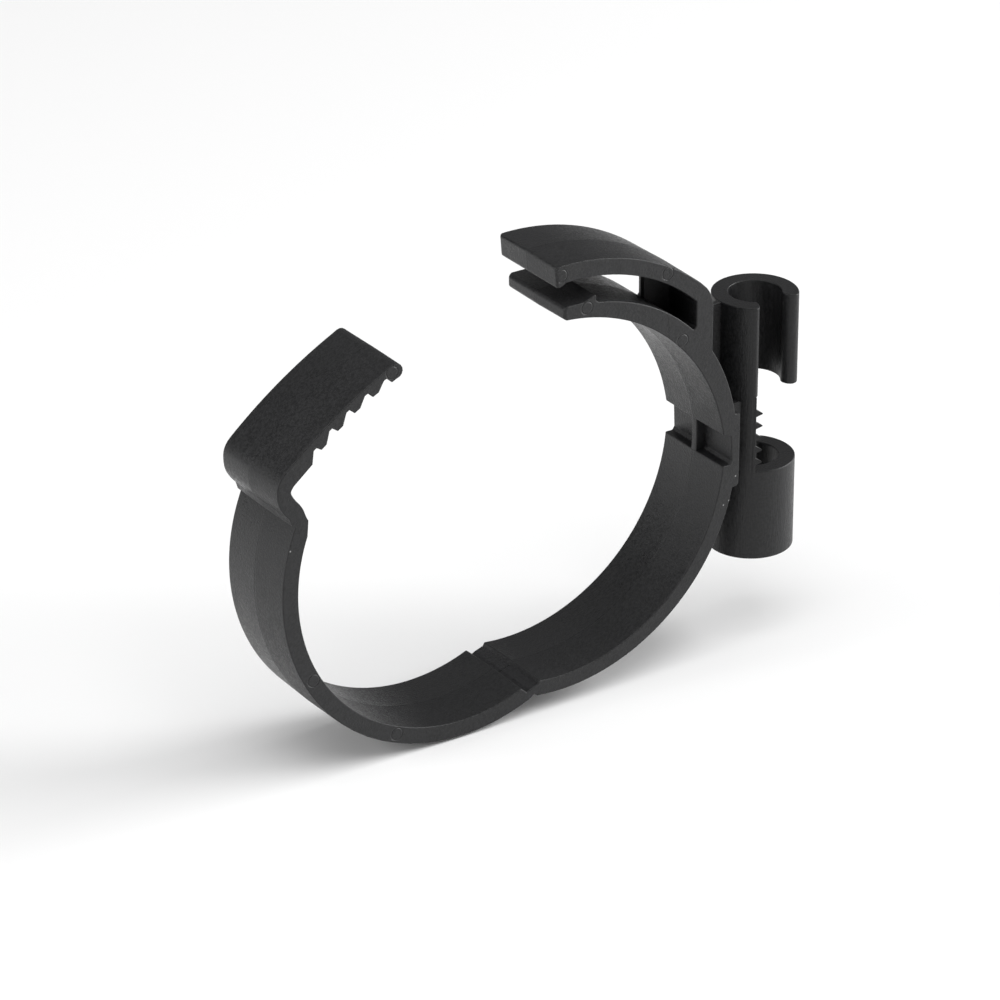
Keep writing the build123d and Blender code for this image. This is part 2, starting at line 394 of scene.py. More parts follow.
# ------------------------------------------------------------------ shader graph
class Channel:
    """A number from a shader socket, on which sums are written as Python expressions."""

    def __init__(self, graph: "Graph", socket: bpy.types.NodeSocket | None) -> None:
        """Wraps one output socket of a graph, or nothing after a node that has none."""
        self.graph, self.socket = graph, socket

    def _sum(self, operation: str, *terms: object) -> "Channel":
        """One Math node over the terms."""
        return self.graph.node("ShaderNodeMath", {"operation": operation}, dict(enumerate(terms)))

    def __add__(self, other: object) -> "Channel":
        """self + other"""
        return self._sum("ADD", self, other)

    def __sub__(self, other: object) -> "Channel":
        """self - other"""
        return self._sum("SUBTRACT", self, other)

    def __rsub__(self, other: object) -> "Channel":
        """other - self"""
        return self._sum("SUBTRACT", other, self)

    def __mul__(self, other: object) -> "Channel":
        """self * other"""
        return self._sum("MULTIPLY", self, other)

    def __abs__(self) -> "Channel":
        """The size of self."""
        return self._sum("ABSOLUTE", self)

    __radd__, __rmul__ = __add__, __mul__

    def greatest(self, other: object) -> "Channel":
        """The larger of the two."""
        return self._sum("MAXIMUM", self, other)

    def between(self, low: float, high: float) -> "Channel":
        """0 below low, 1 above high, and smooth between them."""
        sockets = {"Value": self, "From Min": low, "From Max": high}
        return self.graph.node("ShaderNodeMapRange", {"interpolation_type": "SMOOTHSTEP"}, sockets)


class Graph:
    """The node tree of one material or of the world."""

    def __init__(self, owner: bpy.types.Material | bpy.types.World) -> None:
        """Empties the owner's tree."""
        self.owner = owner
        owner.use_nodes = True
        self.tree = owner.node_tree
        self.tree.nodes.clear()

    def node(
        self, kind: str, settings: dict[str, object], inputs: dict[object, object], output: object = 0
    ) -> Channel:
        """Adds one node.

        Args:
            kind: the node's type.
            settings: its properties, set before its sockets.
            inputs: values or Channels by socket name or number.
            output: the socket that the result reads.

        Returns:
            The chosen output, or an empty Channel for a node without outputs.
        """
        made = self.tree.nodes.new(kind)
        for key, value in settings.items():
            setattr(made, key, value)
        for key, value in inputs.items():
            if isinstance(value, Channel):
                self.tree.links.new(value.socket, made.inputs[key])
            else:
                made.inputs[key].default_value = value
        return Channel(self, made.outputs[output] if len(made.outputs) else None)

    def place_mm(self) -> Channel:
        """The surface point in the piece's own frame, in millimetres."""
        coordinates = self.node("ShaderNodeTexCoord", {}, {}, "Object")
        return self.node("ShaderNodeVectorMath", {"operation": "SCALE"}, {0: coordinates, "Scale": 1 / MM})

    def stretched(self, place: Channel, scale: tuple[float, float, float]) -> Channel:
        """The place with each axis multiplied by its own scale."""
        return self.node("ShaderNodeVectorMath", {"operation": "MULTIPLY"}, {0: place, 1: scale})

    def depth(self, place: Channel) -> Channel:
        """The place's Y, which runs from the front face to the back one."""
        return self.node("ShaderNodeSeparateXYZ", {}, {0: place}, 1)

    def noise(self, place: Channel, size: float, detail: float, rough: float) -> Channel:
        """Smooth noise from 0 to 1 whose features are about size millimetres across."""
        sockets = {"Vector": place, "Scale": 1 / size, "Detail": detail, "Roughness": rough}
        return self.node("ShaderNodeTexNoise", {}, sockets)

    def distance(self, place: Channel, centre: tuple[float, float, float]) -> Channel:
        """How far the place is from a centre, in millimetres."""
        return self.node("ShaderNodeVectorMath", {"operation": "DISTANCE"}, {0: place, 1: centre}, "Value")

    def mixed(self, share: Channel, first: Channel | Sequence[float], second: Sequence[float]) -> Channel:
        """A colour between two, of which the first may come from the graph."""
        start = first if isinstance(first, Channel) else (*first, 1)
        return self.node("ShaderNodeMix", {"data_type": "RGBA"}, {0: share, 6: start, 7: (*second, 1)}, 2)


# ------------------------------------------------------------------ finishes
@dataclass(frozen=True)
class Spread:
    """How much each scale of variation adds: drift over the part, mottling in patches, and specks."""

    drift: float
    mottle: float
    speck: float


@dataclass(frozen=True)
class SatinMoulding:
    """Charcoal plastic off a fine-blasted mould: soft grain, drift in the gloss, and pin and dust marks.

    Attributes:
        name: the material's name.
        dark, pale: the colour's two ends, which drift over the part.
        gloss: roughness of the plain surface.
        grain: height of the blasted grain, in millimetres.
        drawn: how far the grain is stretched along Z, as where a core pin was drawn.
        polish: how much smoother the far mould half left its side.
        pins: centres (X, Z) of ejector pin marks on the front face.
        motes: (X, Z) of the dust motes on the front face.
        dust: the colour of a mote.
        grain_noise, mottle_noise, drift_noise, speck_noise: size in millimetres, detail and roughness.
        speck_band: the part of the speck noise that is spread from 0 to 1.
        tint, sheen: how the colour and the roughness vary.
        dark_lean: what is taken off the colour's share, so that most of the surface stays dark.
        mottle_height: height of the mottling, in millimetres.
        pin_radius, pin_depth: sizes of a pin mark's groove.
        pin_line: half widths of that groove, at its floor and at its top.
        face, face_band: Y of the front face, and how far behind it a pin mark starts to fade and ends.
        mote_edge: radii where a mote is whole and where it ends.
        parting: half the width in which one mould half's gloss gives way to the other's.
        relief: strength of the bump.
        index, specular: the shader's IOR and specular level.
    """

    name: str
    dark: tuple[float, float, float] = (0.0060, 0.0061, 0.0066)
    pale: tuple[float, float, float] = (0.0190, 0.0191, 0.0200)
    gloss: float = 0.46
    grain: float = 0.085
    drawn: float = 1.0
    polish: float = 0.09
    pins: tuple[Pair, ...] = ()
    motes: tuple[Pair, ...] = ()
    dust: tuple[float, float, float] = (0.30, 0.30, 0.30)
    grain_noise: tuple[float, float, float] = (0.34, 3.0, 0.7)
    mottle_noise: tuple[float, float, float] = (2.6, 3.0, 0.55)
    drift_noise: tuple[float, float, float] = (14.0, 1.0, 0.5)
    speck_noise: tuple[float, float, float] = (0.42, 2.0, 0.6)
    speck_band: Pair = (0.36, 0.64)
    tint: Spread = Spread(0.4, 0.35, 0.6)
    sheen: Spread = Spread(0.12, 0.16, 0.14)
    dark_lean: float = 0.15
    mottle_height: float = 0.040
    pin_radius: float = 0.95
    pin_depth: float = 0.11
    pin_line: Pair = (0.03, 0.16)
    face: float = -7.3
    face_band: Pair = (0.02, 0.2)
    mote_edge: Pair = (0.06, 0.16)
    parting: float = 0.03
    relief: float = 0.9
    index: float = 1.49
    specular: float = 0.36

    def _pin_height(self, graph: Graph, place: Channel) -> Channel:
        """Height of the pin marks: a groove where the distance to a pin's axis is its radius.

        Args:
            graph: the material's graph.
            place: the surface point.

        Returns:
            Minus the depth on the front face, and 0 behind it.
        """
        flat = graph.stretched(place, (1, 0, 1))
        groove: Channel | float = 0.0
        for x, z in self.pins:
            ring = 1 - abs(graph.distance(flat, (x, 0, z)) - self.pin_radius).between(*self.pin_line)
            groove = ring.greatest(groove)
        start, end = self.face_band
        behind = graph.depth(place).between(self.face + start, self.face + end)
        return groove * (1 - behind) * -self.pin_depth

    def _motes(self, graph: Graph, place: Channel) -> Channel:
        """Where the dust motes are.

        Args:
            graph: the material's graph.
            place: the surface point.

        Returns:
            1 on a mote and 0 elsewhere.
        """
        mote: Channel | float = 0.0
        for x, z in self.motes:
            spot = 1 - graph.distance(place, (x, self.face, z)).between(*self.mote_edge)
            mote = spot.greatest(mote)
        return mote

    def material(self) -> bpy.types.Material:
        """Builds the material.

        Returns:
            A Principled material whose colour, roughness and normal vary over the surface.
        """
        graph = Graph(bpy.data.materials.new(self.name))
        place = graph.place_mm()
        grain = graph.noise(graph.stretched(place, (1, 1, 1 / self.drawn)), *self.grain_noise)
        mottle = graph.noise(place, *self.mottle_noise)
        drift = graph.noise(place, *self.drift_noise)
        speck = graph.noise(place, *self.speck_noise).between(*self.speck_band)
        tint, sheen = self.tint, self.sheen
        share = drift * tint.drift + mottle * tint.mottle + speck * tint.speck - self.dark_lean
        colour = graph.mixed(share, self.dark, self.pale)
        gloss = self.gloss + (mottle - 0.5) * sheen.mottle + (drift - 0.5) * sheen.drift
        far_half = graph.depth(place).between(-self.parting, self.parting)
        gloss = gloss + (speck - 0.5) * sheen.speck - far_half * self.polish
        height = grain * self.grain + mottle * self.mottle_height
        if self.pins:
            height = height + self._pin_height(graph, place)
        if self.motes:
            colour = graph.mixed(self._motes(graph, place), colour, self.dust)
        relief = {"Strength": self.relief, "Distance": MM, "Height": height}
        surface = {
            "Base Color": colour,
            "Roughness": gloss,
            "Normal": graph.node("ShaderNodeBump", {}, relief),
            "IOR": self.index,
            "Specular IOR Level": self.specular,
        }
        plastic = graph.node("ShaderNodeBsdfPrincipled", {}, surface)
        graph.node("ShaderNodeOutputMaterial", {}, {"Surface": plastic})
        return graph.owner


def extent(node: str) -> tuple[np.ndarray, np.ndarray]:
    """Lowest and highest corner of a CAD node, in millimetres."""
    low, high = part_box(node)
    return np.array(low) / MM, np.array(high) / MM


def finish_piece(piece: bpy.types.Object, material: bpy.types.Material, *nodes: str) -> bpy.types.Object:
    """Dresses a piece and has it stand for its CAD nodes.

    Args:
        piece: the piece, with no material yet.
        material: its finish.
        nodes: the CAD nodes it replaces.

    Returns:
        The same piece.
    """
    piece.data.materials.append(material)
    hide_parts(*nodes)
    log.info("%s: %d faces, stands for %s", piece.name, len(piece.data.polygons), ", ".join(nodes))
    return piece


# ------------------------------------------------------------------ the ring, its hinge and its lips
@dataclass(frozen=True)
class RingMoulding:
    """The one moulding of both halves, in the plane of the ring.

    Attributes are its sizes in millimetres and degrees, with the seat axis at the origin. The tongue's radii
    and angles are about the pivot of the film hinge. Names with from, end or reach say where a rounding holds.
    """

    seat_radius: float = 28.8
    outer_radius: float = 31.2
    pad_face: float = 31.6
    strap_centre: Pair = (-17.15, -3.7)
    strap_inner: float = 27.25
    strap_outer: float = 29.85
    pivot: Pair = (-4.6, -30.0)
    tongue_outer: float = 62.5
    tongue_tip: float = 63.0
    tooth_radii: tuple[float, ...] = (60.7, 60.7, 60.65, 60.4, 60.15)
    valley_radii: tuple[float, ...] = (61.7, 61.7, 61.65, 61.4, 61.0)
    valley_half: float = 0.25
    first_valley: float = 113.9
    steep_run: float = 0.37
    ramp_run: float = 1.4
    pitch: float = 3.25
    lip_root: float = 18.5
    lip_gap: float = 0.5
    tooth_round: float = 0.12
    lip_round: float = 0.5
    crease_round: float = 0.04
    outer_lip_end: float = -1.2
    inner_lip_end: float = 0.3
    far_corner: float = 0.8
    near_corner: float = 0.4
    plan_share: float = 0.9
    plan_reach: float = 4.0
    between_lips: float = 31.0
    tongue_from: Pair = (-20.0, 15.0)
    lips_from: Pair = (1.0, 27.0)
    crease_from: float = -44.0
    crease_height: float = 8.4
    crease_reach: float = 1.2
    draft: float = 1.0
    carry: Carry = Carry(groove_half=0.11, groove_depth=0.035, step=0.008, bands=(0.42, 0.6, 0.85))

    @property
    def half(self) -> float:
        """Half the width, from the CAD."""
        return float(extent("clamp_arc")[1][1])

    def arm(self, radius: float, degrees: float) -> Pair:
        """Point at a radius and an angle about the hinge."""
        return polar(radius, degrees, self.pivot)

    def fixed_line(self, s: float) -> Line:
        """The fixed half's line from the hinge along the seat, round both lips and back along the outside.

        Args:
            s: how far each drafted wall is swollen.

        Returns:
            The points of the open line.
        """
        seat, outer = self.seat_radius - s, self.outer_radius + s
        return chain(
            [(-4.0, -29.1)],
            arc_through((-3.7, -28.56 + s), polar(seat, -45), outward((28.68, -2.7), -s), 62),
            [(29.9, -2.7), (30.25, -2.2), (30.1, 1.75)],
            arc_through(outward((28.7, 2.4), -s), outward((20.45, 18.7), -s), outward((0.7, 27.75), -s), 52),
            [(0.3, 28.1), (0.3, 29.45), (0.7, 29.85), (3.7, 29.85), (5.75, 30.65), (5.8, 29.7)],
            arc_through((6.2, 29.3), (15.1, 26.45), (23.0, 20.7), 18),
            [(23.45, 21.2), (23.45, 25.1)],
            arc_through((23.45, 25.1), (14.6, 30.95), (2.5, 33.65), 22),
            [(0.6, 33.6), (0.1, 33.25), (-0.9, 33.0)],
            arc_through(outward((-1.2, 36.35), s), outward((12.6, 34.4), s), outward((24.2, 27.8), s), 26),
            cut_corners([(24.7 + s, 27.3), (25.6 + s, 26.4), (26.4 + s, 24.5), (26.4 + s, 22.9)], 2),
            arc_through((26.4 + s, 16.6), polar(outer, 21), outward((30.75, 5.3), s), 11),
            [(self.pad_face, 5.2), (self.pad_face, -6.2), (31.2, -6.5)],
            arc_through(outward((30.5, -6.55), s), polar(outer, -50), (-3.4, -31.0 - s), 62),
            [(-4.0, -30.95)],
        )

    def _teeth(self) -> list[Pair]:
        """The ratchet's line: for each valley its steep flank, its floor and the ramp up to the next tooth.

        Returns:
            Points from the tip's tooth to the last valley.
        """
        line: list[Pair] = [self.arm(self.tooth_radii[0], 112.4)]
        for k, (tooth, floor) in enumerate(zip(self.tooth_radii, self.valley_radii)):
            middle = self.first_valley + k * self.pitch
            line += [
                self.arm(tooth, middle - self.valley_half - self.steep_run),
                self.arm(floor, middle - self.valley_half),
                self.arm(floor, middle + self.valley_half),
            ]
            if k + 1 < len(self.tooth_radii):
                line.append(self.arm(self.tooth_radii[k + 1], middle + self.valley_half + self.ramp_run))
        return line

    def strap_line(self, s: float) -> Line:
        """The strap's line from the hinge along the outside, round the tongue and back along the inside.

        Args:
            s: how far each drafted wall is swollen.

        Returns:
            The points of the open line.
        """
        centre, inner, outer = self.strap_centre, self.strap_inner - s, self.strap_outer + s
        blade, tip, tooth = self.tongue_outer + s, self.tongue_tip + s, self.tooth_radii[0]
        shoulder = [(-45.6 - s, 9.2), (-46.35 - s, 10.0), (-47.4 - s, 11.7), (-47.565 - s, 14.3)]
        shoulder += [(-46.9 - s, 15.7), (-45.97 - s, 16.6 + s), self.arm(blade - 0.2, 130.4)]
        return chain(
            arc_through((-5.5, -31.15 - s), polar(outer, -135, centre), polar(outer, 157.6, centre), 90),
            [(-45.2 - s, 8.05)],
            cut_corners(shoulder),
            arc_through(self.arm(blade - 0.2, 130.4), self.arm(blade, 121.5), self.arm(tip, 112.3), 18),
            arc_through(self.arm(tip, 112.3), self.arm(61.8, 111.1), self.arm(tooth, 112.4), 8),
            self._teeth(),
            [self.arm(59.6, 128.5)],
            cut_corners([(-44.75, 14.1), (-45.35, 13.3), (-44.9, 12.4), (-44.4, 11.7)], 2),
            cut_corners([(-43.9, 11.1), (-43.3, 10.2), (-42.9, 9.0), (-42.5, 8.2)], 2),
            arc_through(polar(inner, 159.6, centre), polar(inner, -134, centre), (-6.9, -28.95 + s), 88),
            [(-5.9, -29.85)],
        )

    def whole_line(self, s: float) -> tuple[Line, np.ndarray]:
        """The whole moulding's closed line.

        Args:
            s: how far each drafted wall is swollen.

        Returns:
            Its points, and the numbers of those at the film hinge's four corners.
        """
        fixed, strap = self.fixed_line(s), self.strap_line(s)
        line = np.vstack([fixed, [(-4.55, -30.5), (-5.0, -30.85)], strap, [(-5.4, -29.55)]])
        start = len(fixed) + 2
        return line, np.array([0, len(fixed) - 1, start, start + len(strap) - 1])

    def parted(self) -> tuple[np.ndarray, np.ndarray]:
        """The rings of the whole moulding, and where the hinge and the lips part it.

        Returns:
            Rings in metres, and eight point numbers: the hinge's four, then the lips' four along the line.
        """
        swell = self.half * math.tan(math.radians(self.draft))
        (bare, corners), (full, _) = self.whole_line(0.0), self.whole_line(swell)
        side = np.sign(bare[:, 0] - self.lip_root)
        crossings = np.flatnonzero((np.diff(side) != 0) & (bare[:-1, 1] > 0))
        before, after = bare[crossings, 0], bare[crossings + 1, 0]
        share = ((self.lip_root - before) / (after - before))[None, :, None]
        lines = np.stack([bare, full])
        added = lines[:, crossings] * (1 - share) + lines[:, crossings + 1] * share
        lines = np.insert(lines, crossings + 1, added, axis=1)
        roots = crossings + 1 + np.arange(len(crossings))
        corners = corners + np.searchsorted(crossings, corners, side="left")
        x, z = lines[0].T
        on_tongue = (x < self.tongue_from[0]) & (z > self.tongue_from[1])
        on_lip_end = (x < self.lips_from[0]) & (z > self.lips_from[1])
        in_crease = (x < self.crease_from) & (np.abs(z - self.crease_height) < self.crease_reach)
        rounds = [self.tooth_round, self.lip_round, self.crease_round]
        radius = np.select([on_tongue, on_lip_end, in_crease], rounds, CornerRule.radius)
        soft = CornerRule().apply(lines, radius)
        rings = self.rounded_in_plan(self.carry.rings(soft, self.half, 0.0, Lie.ACROSS_RING))
        return rings, soft.places[np.hstack([corners, roots])]

    def rounded_in_plan(self, rings: np.ndarray) -> np.ndarray:
        """Rounds the four corners of the lips' ends as seen from above.

        Past the start of a corner the end face stands back by r (1 - the root of 1 - q squared), q being how
        far into the corner the point is, from 0 to 1, and the shift fades out two radii from the end.

        Args:
            rings: points in metres, shape (rings, points, 3).

        Returns:
            The rings with their lip ends moved.
        """
        x, y, z = np.moveaxis(rings / MM, -1, 0)
        end = np.where(z > self.between_lips, self.outer_lip_end, self.inner_lip_end)
        r = np.where(y > 0, self.far_corner, self.near_corner)
        q = np.clip((np.abs(y) - (self.half - r)) / r, 0, 1)
        on_lips = (z > self.lips_from[1]) & (np.abs(x) < self.plan_reach)
        fade = np.clip(1 - (x - end) / (2 * r), 0, 1) * on_lips
        x = x + fade * r * (1 - np.sqrt(1 - q**2)) * self.plan_share
        return np.stack([x, y, z], axis=-1) * MM

    def build(self, skin: bpy.types.Material, film: bpy.types.Material) -> None:
        """Makes the fixed half, the film hinge, the strap and the two lips, and sets the fixed half and the
        strap to follow their bodies; the film hinge and the lips follow none.

        Args:
            skin: the finish of all of them but the film.
            film: the finish of the film hinge.
        """
        rings, at = self.parted()
        first, last, strap_start, strap_end, inner_in, inner_out, outer_in, outer_out = at.tolist()
        around = rings.shape[1]
        spans = {
            "ring_half": [(first, inner_in), (inner_out, outer_in), (outer_out, last)],
            "inner_catch_lip": [(inner_in, inner_out)],
            "outer_catch_lip": [(outer_in, outer_out)],
            "film_hinge": [(last, strap_start), (strap_end, around + first)],
            "closing_strap": [(strap_start, strap_end)],
        }
        made: dict[str, bpy.types.Object] = {}
        for name, parts in spans.items():
            points = np.concatenate([np.arange(a, b + 1) for a, b in parts]) % around
            made[name] = closed_shell(name, rings[:, points])
        finish_piece(made["ring_half"], skin, "clamp_arc", "seat_pad", "upper_jaw")
        finish_piece(made["inner_catch_lip"], skin, "inner_lip", "inner_lip_flexure", "pawl_tooth")
        finish_piece(made["outer_catch_lip"], skin, "outer_lip", "outer_lip_flexure", "lip_hook")
        finish_piece(made["film_hinge"], film, "hinge_film")
        teeth = [f"ratchet_tooth_{k}" for k in range(1, len(self.tooth_radii))]
        tongue = ["tongue_blade", "tongue_tip", *teeth]
        finish_piece(made["closing_strap"], skin, "strap_arc", "strap_step", *tongue)
        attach(made["ring_half"], "fixed_half")
        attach(made["closing_strap"], "strap")
        for name, body in (("inner_catch_lip", "inner_lip"), ("outer_catch_lip", "outer_lip")):
            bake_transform(made[name])
        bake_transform(made["film_hinge"])


# ------------------------------------------------------------------ webs, pad, spine, rack and sleeves
@dataclass(frozen=True)
class RodCarrier:
    """The part that slides on the rod: two slotted sleeves, the spine between them with its rack, and the webs.

    Attributes are its sizes in millimetres, and in degrees the angles from the slot's middle to its two lips.
    Names with lap say how far a piece is let into its neighbour, and names with steps how many points there are.
    """

    sleeve_radius: float = 6.5
    bore_radius: float = 4.0
    narrow_side: float = 29.0
    wide_side: float = 40.0
    lip_round: float = 0.5
    bore_lead: float = 0.16
    wide_round: float = 1.1
    lip_steps: int = 13
    wall_steps: int = 73
    spine_flat: float = 35.9
    spine_lap: float = 0.2
    spine_steps: int = 41
    rack_base: float = 0.5
    rack_pitch: float = 1.97
    rack_teeth: int = 5
    rack_top: float = 3.3
    rack_rise: float = 0.85
    rack_lap: float = 0.15
    rack_sink: float = 0.05
    tooth_base: float = 1.1
    tooth_tip: float = 0.16
    web: float = 0.9
    rib: float = 1.2
    rib_lap: float = 0.5
    web_drop: float = 0.06
    web_rim: float = 0.14
    pad_half: float = 4.0
    pad_rim: float = 0.2

    @property
    def axis(self) -> float:
        """X of the rod's axis, from the CAD."""
        low, high = extent("lower_sleeve")
        return float(high[0]) - self.sleeve_radius

    def sleeve(self, node: str, slot_side: int) -> bpy.types.Object:
        """A C-section sleeve, its slot's lips and both rims rounded.

        The section runs round the outer circle from the slot's wide side to its narrow side and back round the
        bore. Each lip ends in half an ellipse: at angle t its radius is the wall's middle plus cos t of half
        the wall, and it stands back from the lip's end by its round times 1 - sin t.

        Args:
            node: the CAD node it stands for.
            slot_side: 1 if the slot faces +Y, -1 if it faces -Y.

        Returns:
            The sleeve.
        """
        low, high = extent(node)
        wall, mid = self.sleeve_radius - self.bore_radius, (self.sleeve_radius + self.bore_radius) / 2
        start, end = math.radians(self.wide_side), math.tau - math.radians(self.narrow_side)
        over = np.linspace(0, math.pi, self.lip_steps)
        wide = start + self.wide_round / mid * (1 - np.sin(over))
        narrow = end - self.lip_round / mid * (1 - np.sin(over))
        across = mid + np.cos(over) * wall / 2
        about = np.linspace(wide[0], narrow[0], self.wall_steps)[1:-1]
        outer, bore = np.full_like(about, self.sleeve_radius), np.full_like(about, self.bore_radius)
        turn = np.hstack([about, narrow, about[::-1], wide[::-1]])
        radius = np.hstack([outer, across, bore, across[::-1]])
        line = np.stack([self.axis + radius * np.sin(turn), slot_side * radius * np.cos(turn)], axis=1)
        soft = CornerRule(rim=self.bore_lead, least_turn=60).apply(line[None])
        half, middle = (high[2] - low[2]) / 2, (high[2] + low[2]) / 2
        return closed_shell(f"{node}_skin", Carry().rings(soft, half, middle, Lie.ALONG_ROD))

    def spine(self) -> bpy.types.Object:
        """The segment of the sleeve's circle that joins the sleeves, let a little into both.

        Returns:
            The spine.
        """
        low, high = extent("spine")
        flat = self.spine_flat - self.rack_base
        reach = math.acos((self.axis - flat) / self.sleeve_radius)
        turn = np.linspace(math.pi - reach, math.pi + reach, self.spine_steps)
        circle = np.stack([np.cos(turn), np.sin(turn)], axis=1)
        line = self.sleeve_radius * circle + (self.axis, 0)
        soft = CornerRule(radius=0.2, rim=0.05, least_turn=20).apply(line[None])
        half, middle = (high[2] - low[2]) / 2 + self.spine_lap, (high[2] + low[2]) / 2
        rings = Carry(bends=1, hold=0.02).rings(soft, half, middle, Lie.ALONG_ROD)
        return closed_shell("spine_skin", rings)

    def rack(self) -> bpy.types.Object:
        """The five small teeth on the spine, each cut off by the sleeve's circle.

        A point at X ends where the sleeve's circle does, at the root of its radius squared less (X - axis)
        squared.

        Returns:
            The rack.
        """
        low, high = extent("spine_rack")
        z = self.rack_top - self.rack_pitch * np.arange(self.rack_teeth)
        base, tip, flat = self.tooth_base / 2, self.tooth_tip / 2, self.spine_flat
        over = np.array([(0, base), (self.rack_rise, tip), (self.rack_rise, -tip), (0, -base)])
        teeth = np.stack([flat + np.tile(over[:, 0], len(z)), (z[:, None] + over[:, 1]).ravel()], axis=1)
        back = flat - self.rack_base - self.rack_sink
        foot, top = low[2] - self.rack_lap, high[2] + self.rack_lap
        line = chain([(flat, top)], teeth, [(flat, foot), (back, foot), (back, top)])
        soft = CornerRule(radius=0.08, rim=0.06, least_turn=20, steps=3).apply(line[None])
        half = np.sqrt(self.sleeve_radius**2 - (self.axis - soft.lines[0, :, 0]) ** 2)
        return closed_shell("rack_skin", Carry(bends=2, hold=0.03).rings(soft, half, 0.0, Lie.ACROSS_RING))

    def plate(self, name: str, line: Line, half: float, rim: float) -> bpy.types.Object:
        """A flat web over a line of the ring's plane, both its rims rounded."""
        soft = CornerRule(radius=0.2, rim=rim, least_turn=12).apply(line[None])
        return closed_shell(name, Carry(hold=0.05).rings(soft, half, 0.0, Lie.ACROSS_RING))

    def outlines(self) -> dict[str, tuple[Line, float, float]]:
        """The flat webs, each let into its neighbours.

        Returns:
            For each CAD node its closed line, half its thickness and the room for its rims.
        """
        mouth, web = extent("mouth_web"), extent("sleeve_web")
        pad, rib = extent("pad_block"), extent("seat_rib")
        x, top, foot = float(mouth[0][0]), float(web[1][2]) - self.web_drop, float(pad[1][2])
        pad_foot, rib_back = pad[0][2], float(rib[1][0]) + self.rib_lap
        seat = arc_through((28.56, -3.2), (28.68, 0), (28.56, 2.9), 6)
        sleeve = [(25.3, top), (33.1, top), (33.1, foot), (29.6, foot), (25.3, 16.5)]
        jaw = [(x, 22.6), (24.4, 20.0), (24.4, 26.6), (x, 30.2)]
        block = [(31.3, pad_foot), (34.9, pad_foot), (34.9, foot), (31.3, foot)]
        return {
            "mouth_web": (chain(jaw), self.web / 2, self.web_rim),
            "seat_rib": (chain(seat, [(rib_back, 2.9), (rib_back, -3.2)]), self.rib / 2, self.web_rim),
            "sleeve_web": (chain(sleeve), self.web / 2, self.web_rim),
            "pad_block": (chain(block), self.pad_half, self.pad_rim),
        }

    def build(self, skin: bpy.types.Material, drawn: bpy.types.Material) -> None:
        """Makes every piece of the carrier and has it ride on the fixed half.

        Args:
            skin: the finish of the webs and the pad.
            drawn: the finish of the spine, the rack and the sleeves.
        """
        pieces = [
            finish_piece(self.plate(f"{node}_skin", *outline), skin, node)
            for node, outline in self.outlines().items()
        ]
        pieces += [
            finish_piece(self.spine(), drawn, "spine"),
            finish_piece(self.rack(), drawn, "spine_rack"),
            finish_piece(self.sleeve("upper_sleeve", -1), drawn, "upper_sleeve"),
            finish_piece(self.sleeve("lower_sleeve", 1), drawn, "lower_sleeve"),
        ]
        for piece in pieces:
            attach(piece, "fixed_half")


# ------------------------------------------------------------------ studio
def toward(azimuth: float, elevation: float) -> Vector:
    """Unit vector to a place seen from the clamp; azimuth 0 is in front, along -Y, and 90 is at +X."""
    a, e = math.radians(azimuth), math.radians(elevation)
    return Vector((math.sin(a) * math.cos(e), -math.cos(a) * math.cos(e), math.sin(e)))


@dataclass(frozen=True)
class SoftBox:
    """One square studio light, aimed at the clamp.

    Attributes:
        name: the light's name.
        azimuth, elevation: where it stands, in degrees.
        distance, size: in metres.
        power: in watts.
    """

    name: str
    azimuth: float
    elevation: float
    distance: float
    size: float
    power: float

    def hang(self, target: Vector) -> None:
        """Makes the light and aims it.

        Args:
            target: the point it is aimed at.
        """
        away = toward(self.azimuth, self.elevation)
        light = bpy.data.lights.new(self.name, "AREA")
        light.shape, light.size, light.energy = "SQUARE", self.size, self.power
        lamp = bpy.data.objects.new(self.name, light)
        lamp.rotation_mode = "QUATERNION"
        lamp.location = target + away * self.distance
        lamp.rotation_quaternion = away.to_track_quat("Z", "Y")
        bpy.context.scene.collection.objects.link(lamp)


